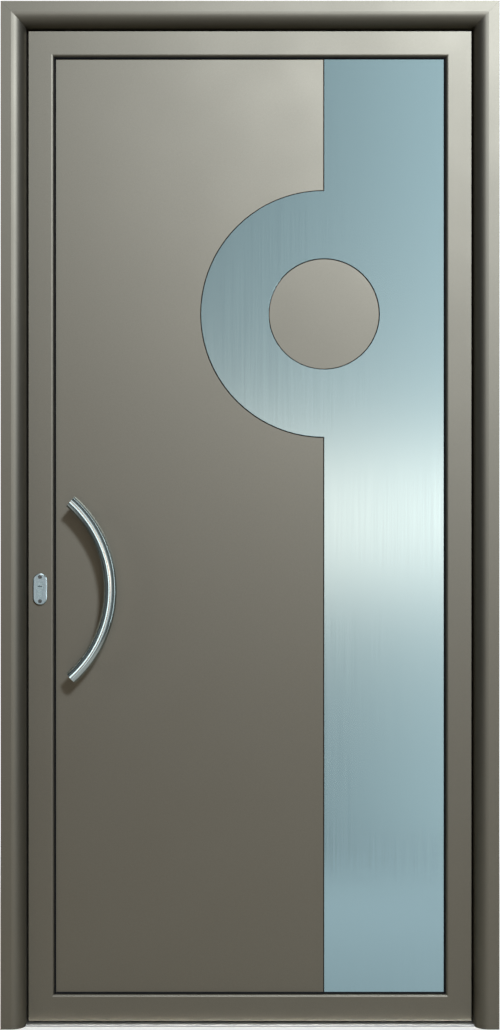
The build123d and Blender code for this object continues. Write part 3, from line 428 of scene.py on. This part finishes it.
def only_for(nodes, light):
    """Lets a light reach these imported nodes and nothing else."""
    chosen = bpy.data.collections.new("lit_by_" + light.name)
    for name in nodes:
        chosen.objects.link(frame["nodes"][name])
    light.light_linking.receiver_collection = chosen


def radial(side, tilt):
    """Unit vector away from the handle's axis of view, at this tilt from level."""
    return Vector((side * cos(radians(tilt)), 0.0, sin(radians(tilt))))


def facing(forward, sideways):
    """Rotation of a lamp that looks forward with its X along sideways."""
    back = -forward.normalized()
    up = back.cross(sideways).normalized()
    right = up.cross(back)
    return Matrix((right, up, back)).transposed()


def handle_strips():
    """Bent strips round the pull handle, each from short straight lamps."""
    lowest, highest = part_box("pull_handle")
    middle = (lowest + highest) / 2
    for number, (side, angle, width, level) in enumerate(STRIPS):
        across = STRIP_REACH * sin(radians(angle))
        size = (STRIP_REACH * radians(width), 2.0 * across * sin(radians(STRIP_HALF_BEND)))
        for tilt in STRIP_TILTS:
            offset = Vector((side * across * cos(radians(tilt)),
                             -STRIP_REACH * cos(radians(angle)),
                             across * sin(radians(tilt))))
            lamp = soft_light("strip_%d_%d" % (number, tilt), size, middle + offset, middle,
                              lamp_power(level, size), STRIP_TINT)
            lamp.rotation_euler = facing(-offset, radial(side, tilt)).to_euler()
            only_for(["pull_handle"], lamp)


def edge_lights():
    """Lamps that show in the bevels of the steel, on the sill and on the escutcheon."""
    power = lamp_power(EDGE_LEVEL, EDGE_SIZE)
    right = soft_light("right_edge", EDGE_SIZE, RIGHT_EDGE_PLACE, EDGE_AIM, power)
    upright = Vector((0.0, 0.0, 1.0))
    right.rotation_euler = facing(Vector(RIGHT_EDGE_LOOKS), upright).to_euler()
    top = soft_light("top_edge", EDGE_SIZE, TOP_EDGE_PLACE, EDGE_AIM, power)
    for lamp in (right, top):
        only_for(BEVELLED_PIECES, lamp)
    only_for(["threshold_outer"], soft_light(*SILL_LAMP))
    rose = soft_light("rose_fill", ROSE_SIZE, ROSE_PLACE, ROSE_AIM,
                      lamp_power(ROSE_LEVEL, ROSE_SIZE), ROSE_TINT)
    only_for(ROSE_PIECES, rose)


def lights():
    for *lamp, left_out in ROOM_LAMPS:
        not_for(left_out, soft_light(*lamp))
    for name, x in INLAY_LAMP_PLACES:
        lamp = soft_light(name, INLAY_LAMP_SIZE, (x, INLAY_LAMP_Y, INLAY_LAMP_Z), INLAY_LAMP_AIM,
                          lamp_power(INLAY_LAMP_LEVEL, INLAY_LAMP_SIZE))
        only_for(["panel_inlay"], lamp)
    handle_strips()
    edge_lights()


class Sky(Graph):
    """World whose levels depend on the direction."""

    def __init__(self):
        world = bpy.data.worlds.new("studio")
        bpy.context.scene.world = world
        world.use_nodes = True
        super().__init__(world.node_tree)
        toward = self.nodes.new("ShaderNodeTexCoord").outputs["Generated"]
        parts = self.nodes.new("ShaderNodeSeparateXYZ")
        self.links.new(toward, parts.inputs["Vector"])
        self.x, self.y, self.z = parts.outputs

    def levels(self, angle, stops, reach):
        """Grey levels at (angle, level) stops, for angles from -reach to reach."""
        scaled = self.math("MULTIPLY_ADD", angle, 180 / pi / (2 * reach), 0.5)
        places = [(stop / (2 * reach) + 0.5, colour(level, level, level)) for stop, level in stops]
        return self.ramp(scaled, places, "EASE")

    def background(self, level, tint):
        node = self.nodes.new("ShaderNodeBackground")
        node.inputs["Color"].default_value = colour(*tint)
        self.links.new(level, node.inputs["Strength"])
        return node.outputs["Background"]

    def join(self, kind, first, second, factor=None):
        node = self.nodes.new(kind)
        shaders = [socket for socket in node.inputs if socket.type == "SHADER"]
        self.links.new(first, shaders[0])
        self.links.new(second, shaders[1])
        if factor is not None:
            self.links.new(factor, node.inputs["Fac"])
        return node.outputs["Shader"]


def backdrop():
    """White to the camera, and behind the door also to mirrored and transmitted rays.

    Other rays see a dim studio: dark sides, a pale upright strip just right of the camera, a
    narrow warm window at eye height, and grey above, below and behind the door.
    """
    sky = Sky()
    azimuth = sky.math("ARCTAN2", sky.x, sky.math("MULTIPLY", sky.y, -1.0))
    elevation = sky.math("ARCSINE", sky.z)
    around = sky.levels(azimuth, AROUND, 180.0)
    upright = sky.levels(elevation, UPRIGHT, 90.0)
    over_and_under = sky.levels(elevation, OVER_AND_UNDER, 90.0)
    wall = sky.math("MAXIMUM", sky.math("MULTIPLY", around, upright), over_and_under)
    room = sky.background(wall, ROOM_TINT)
    across = sky.levels(azimuth, WINDOW_AROUND, 180.0)
    height = sky.levels(elevation, WINDOW_UPRIGHT, WINDOW_REACH)
    window = sky.background(sky.math("MULTIPLY", across, height), WINDOW_TINT)
    studio = sky.join("ShaderNodeAddShader", room, window)
    white = sky.nodes.new("ShaderNodeBackground")
    white.inputs["Color"].default_value = colour(*WHITE)
    ray = sky.nodes.new("ShaderNodeLightPath").outputs
    mirrored = sky.math("MAXIMUM", ray["Is Glossy Ray"], ray["Is Transmission Ray"])
    behind = sky.math("GREATER_THAN", sky.y, BEHIND)
    shown = sky.math("MAXIMUM", ray["Is Camera Ray"], sky.math("MULTIPLY", mirrored, behind))
    surface = sky.join("ShaderNodeMixShader", studio, white.outputs["Background"], shown)
    sky.links.new(surface, sky.nodes["World Output"].inputs["Surface"])


def floor_finish():
    """Pale to the camera and in mirrors near it, dim to other rays, and clear far out."""
    finish = Finish("floor_pale").set(roughness=FLOOR_ROUGHNESS,
                                      emission_color=colour(*FLOOR_GLOW_SHADE))
    seen = finish.ramp(finish.noise(FLOOR_CLOUDS),
                       shades(FLOOR_SEEN, 1.0 - FLOOR_CONTRAST, 1.0 + FLOOR_CONTRAST))
    ray = finish.nodes.new("ShaderNodeLightPath").outputs
    near = finish.fade(ray["Ray Length"], MIRROR_FAR, MIRROR_NEAR)
    mirrored = finish.math("MULTIPLY", ray["Is Glossy Ray"], near)
    tone = finish.nodes.new("ShaderNodeMix")
    tone.data_type = "RGBA"
    finish.links.new(finish.math("MAXIMUM", ray["Is Camera Ray"], mirrored), tone.inputs["Factor"])
    tone.inputs["A"].default_value = colour(*FLOOR_DIM)
    finish.links.new(seen, tone.inputs["B"])
    finish.feed(tone.outputs["Result"], "Base Color")
    finish.feed(finish.math("MULTIPLY", ray["Is Camera Ray"], FLOOR_GLOW), "Emission Strength")
    distance = finish.nodes.new("ShaderNodeVectorMath")
    distance.operation = "LENGTH"
    finish.links.new(finish.place, distance.inputs[0])
    clear = finish.nodes.new("ShaderNodeBsdfTransparent")
    mix = finish.nodes.new("ShaderNodeMixShader")
    finish.links.new(finish.fade(distance.outputs["Value"], FLOOR_LIT, FLOOR_REACH),
                     mix.inputs["Fac"])
    finish.links.new(finish.shader.outputs["BSDF"], mix.inputs[1])
    finish.links.new(clear.outputs["BSDF"], mix.inputs[2])
    finish.links.new(mix.outputs["Shader"], finish.nodes["Material Output"].inputs["Surface"])
    return finish.material


def floor():
    """Plain floor under the threshold that fades into the white round about."""
    mesh = bpy.data.meshes.new("floor")
    corners = [(-FLOOR_REACH, -FLOOR_REACH, 0), (FLOOR_REACH, -FLOOR_REACH, 0),
               (FLOOR_REACH, FLOOR_REACH, 0), (-FLOOR_REACH, FLOOR_REACH, 0)]
    mesh.from_pydata(corners, [], [(0, 1, 2, 3)])
    mesh.materials.append(floor_finish())
    plane = bpy.data.objects.new("floor", mesh)
    bpy.context.scene.collection.objects.link(plane)


def camera():
    data = bpy.data.cameras.new("camera")
    data.sensor_width = SENSOR
    data.lens = SENSOR * CAMERA_DISTANCE / PICTURE_HEIGHT
    eye = bpy.data.objects.new("camera", data)
    bpy.context.scene.collection.objects.link(eye)
    eye.location = (0.0, FACE_Y - CAMERA_DISTANCE, CAMERA_HEIGHT)
    eye.rotation_euler = (pi / 2, 0.0, 0.0)
    bpy.context.scene.camera = eye


def add_piece(name, bm, body, slot):
    """Turns a bmesh into a piece of the object that rides on a body."""
    mesh = bpy.data.meshes.new(name)
    bmesh.ops.recalc_face_normals(bm, faces=bm.faces)
    bm.to_mesh(mesh)
    bm.free()
    mesh.materials.append(finishes[slot])
    piece = bpy.data.objects.new(name, mesh)
    bpy.context.scene.collection.objects.link(piece)
    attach(piece, body)


def bridge(bm, low, high):
    """Faces between two closed rows of as many vertices."""
    for number in range(len(low)):
        after = (number + 1) % len(low)
        bm.faces.new((low[number], low[after], high[after], high[number]))


def cap(bm, first, last):
    """Closes both ends of a bar."""
    bm.faces.new(list(reversed(first)))
    bm.faces.new(last)


def cross_radius(angle):
    """Distance from the middle to the edge of a cross recess."""
    level, upright = max(abs(cos(angle)), 1e-6), max(abs(sin(angle)), 1e-6)
    return max(min(CROSS_LONG / level, CROSS_WIDE / upright),
               min(CROSS_LONG / upright, CROSS_WIDE / level))


def screw_head(bm, place, axis):
    """Countersunk head with a cross recess, turned to face along axis."""
    turn = Vector(axis).to_track_quat("Z", "Y").to_matrix()
    angles = [2 * pi * number / SCREW_SEGMENTS for number in range(SCREW_SEGMENTS)]
    rings = [[(SCREW_RADIUS * SCREW_FOOT, -SCREW_SINK)] * SCREW_SEGMENTS,
             [(SCREW_RADIUS, 0.0)] * SCREW_SEGMENTS,
             [(SCREW_RADIUS * CROWN_EDGE, SCREW_PROUD * CROWN_RISE)] * SCREW_SEGMENTS,
             [(cross_radius(angle), SCREW_PROUD) for angle in angles],
             [(cross_radius(angle) * CROSS_TAPER, SCREW_PROUD * CROSS_FOOT) for angle in angles]]
    rows = []
    for ring in rings:
        points = [Vector((radius * cos(angle), radius * sin(angle), height))
                  for angle, (radius, height) in zip(angles, ring)]
        rows.append([bm.verts.new(Vector(place) + turn @ point) for point in points])
    for low, high in zip(rows, rows[1:]):
        bridge(bm, low, high)
    bm.faces.new(list(reversed(rows[0])))
    deepest = Vector((0.0, 0.0, SCREW_PROUD * CROSS_MIDDLE))
    middle = bm.verts.new(Vector(place) + turn @ deepest)
    for number in range(SCREW_SEGMENTS):
        bm.faces.new((rows[-1][number], rows[-1][(number + 1) % SCREW_SEGMENTS], middle))


def screws(name, body, places, axis):
    bm = bmesh.new()
    for place in places:
        screw_head(bm, place, axis)
    add_piece(name, bm, body, "zinc_steel")


def plate_screws(name, body, node, inset, axis):
    """Two screws near the ends of a plate, on the face that looks along axis."""
    lowest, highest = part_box(node)
    middle = (lowest + highest) / 2
    face = [high if way > 0 else low if way < 0 else mean
            for way, low, high, mean in zip(axis, lowest, highest, middle)]
    places = [(face[0], face[1], z) for z in (lowest.z + inset, highest.z - inset)]
    screws(name, body, places, axis)


def hinge_screws():
    """Two screws in the frame's plate and two in the leaf's plate of each hinge."""
    for body, across in HINGE_SCREWS_X:
        places = []
        for part in HINGES:
            lowest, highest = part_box("hinge_%s_frame_part" % part)
            middle = (lowest.z + highest.z) / 2
            places += [(across, INSIDE_Y + HINGE_PLATE, middle + side * HINGE_SCREW_GAP)
                       for side in (-1, 1)]
        screws("hinge_%s_screws" % body, body, places, (0, 1, 0))


def left_of(start, end):
    """Unit vector to the left of the way from start to end."""
    along = Vector((end[0] - start[0], end[1] - start[1])).normalized()
    return Vector((-along.y, along.x))


def sweep(bm, path, section, y, closed):
    """Bar of this section along a path in X and Z: section points are (to the left, out of y)."""
    rows = []
    for number, point in enumerate(path):
        lefts = []
        if closed or number:
            lefts.append(left_of(path[number - 1], point))
        if closed or number < len(path) - 1:
            lefts.append(left_of(point, path[(number + 1) % len(path)]))
        left = sum(lefts, Vector((0.0, 0.0))).normalized()
        left /= left.dot(lefts[0])
        rows.append([bm.verts.new((point[0] + left.x * aside, y - out, point[1] + left.y * aside))
                     for aside, out in section])
    for low, high in list(zip(rows, rows[1:])) + ([(rows[-1], rows[0])] if closed else []):
        bridge(bm, low, high)
    if not closed:
        cap(bm, rows[0], rows[-1])


def inlay_seal_and_shade_line():
    """Thin black bead in the corner between the inlay's edge and the panel: partly a sealing
    joint, partly painted shade that darkens the edges where the raised inlay's shadow falls.
    """
    lowest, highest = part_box("panel_inlay")
    band_x = lowest.x + RING_OUTER
    ring_z = TOP - RING_DROP
    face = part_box("panel_outer_sheet")[0].y
    section = [(-BEAD_LAP, -BEAD_SINK), (BEAD_WIDE, -BEAD_SINK), (BEAD_WIDE, BEAD_RIM),
               (BEAD_WIDE * BEAD_SLOPE[0], BEAD_HIGH * BEAD_SLOPE[1]), (-BEAD_LAP, BEAD_HIGH)]
    bm = bmesh.new()
    turns = [pi / 2 + pi * number / ARC_STEPS for number in range(1, ARC_STEPS)]
    arc = [(band_x + RING_OUTER * cos(turn), ring_z + RING_OUTER * sin(turn)) for turn in turns]
    above, below = (band_x, ring_z + RING_OUTER), (band_x, ring_z - RING_OUTER)
    sweep(bm, [(band_x, lowest.z), below], section, face, False)
    sweep(bm, [above, (band_x, highest.z)], section, face, False)
    sweep(bm, [below] + list(reversed(arc)) + [above], section, face, False)
    turns = [-pi * number / ARC_STEPS for number in range(2 * ARC_STEPS)]
    circle = [(band_x + RING_INNER * cos(turn), ring_z + RING_INNER * sin(turn)) for turn in turns]
    sweep(bm, circle, [(-aside, out) for aside, out in section], face, True)
    # The bead's black is partly painted shade along the inlay's edges and partly the joint's own
    # colour.
    add_piece("inlay_seal_and_shade_line", bm, "leaf", "black_gasket")


def seam(bm, start, end, y, outward):
    """Fine raised seam of sealant along a mitre, from start to end in X and Z."""
    start, end = Vector((start[0], y, start[1])), Vector((end[0], y, end[1]))
    along = (end - start).normalized()
    start += along * SEAM_INSET
    side = along.cross(Vector((0.0, outward, 0.0))) * SEAM_HALF
    top = Vector((0.0, outward * SEAM_PROUD, 0.0))
    under = -top
    first, last = [[bm.verts.new(point + shift) for shift in (under - side, top, under + side)]
                   for point in (start, end)]
    bridge(bm, first, last)
    cap(bm, first, last)


def seams():
    """Seams on the outside of the frame and on the inside of the frame and leaf."""
    on_frame = bmesh.new()
    on_leaf = bmesh.new()
    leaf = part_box("leaf_top_rail_inner")[1]
    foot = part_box("leaf_bottom_rail_inner")
    for side in (-1, 1):
        for y, outward, flat in ((FACE_Y, -1, FRAME_FLAT), (INSIDE_Y, 1, FRAME_INNER_FLAT)):
            seam(on_frame, (side * HALF_WIDTH, TOP), (side * (HALF_WIDTH - flat), TOP - flat),
                 y, outward)
        seam(on_leaf, (side * leaf.x, leaf.z),
             (side * (leaf.x - LEAF_INNER_FLAT), leaf.z - LEAF_INNER_FLAT), INSIDE_Y, 1)
        seam(on_leaf, (side * foot[1].x, foot[0].z),
             (side * (foot[1].x - LEAF_FOOT_FLAT), foot[0].z + LEAF_FOOT_FLAT), INSIDE_Y, 1)
    add_piece("frame_mitre_seams", on_frame, "frame", "black_gasket")
    add_piece("leaf_mitre_seams", on_leaf, "leaf", "black_gasket")


dress_nodes()
for plate in PLATE_SCREWS:
    plate_screws(*plate)
hinge_screws()
seams()
inlay_seal_and_shade_line()
camera()
floor()
lights()
backdrop()
bpy.context.scene.view_settings.view_transform = "Standard"
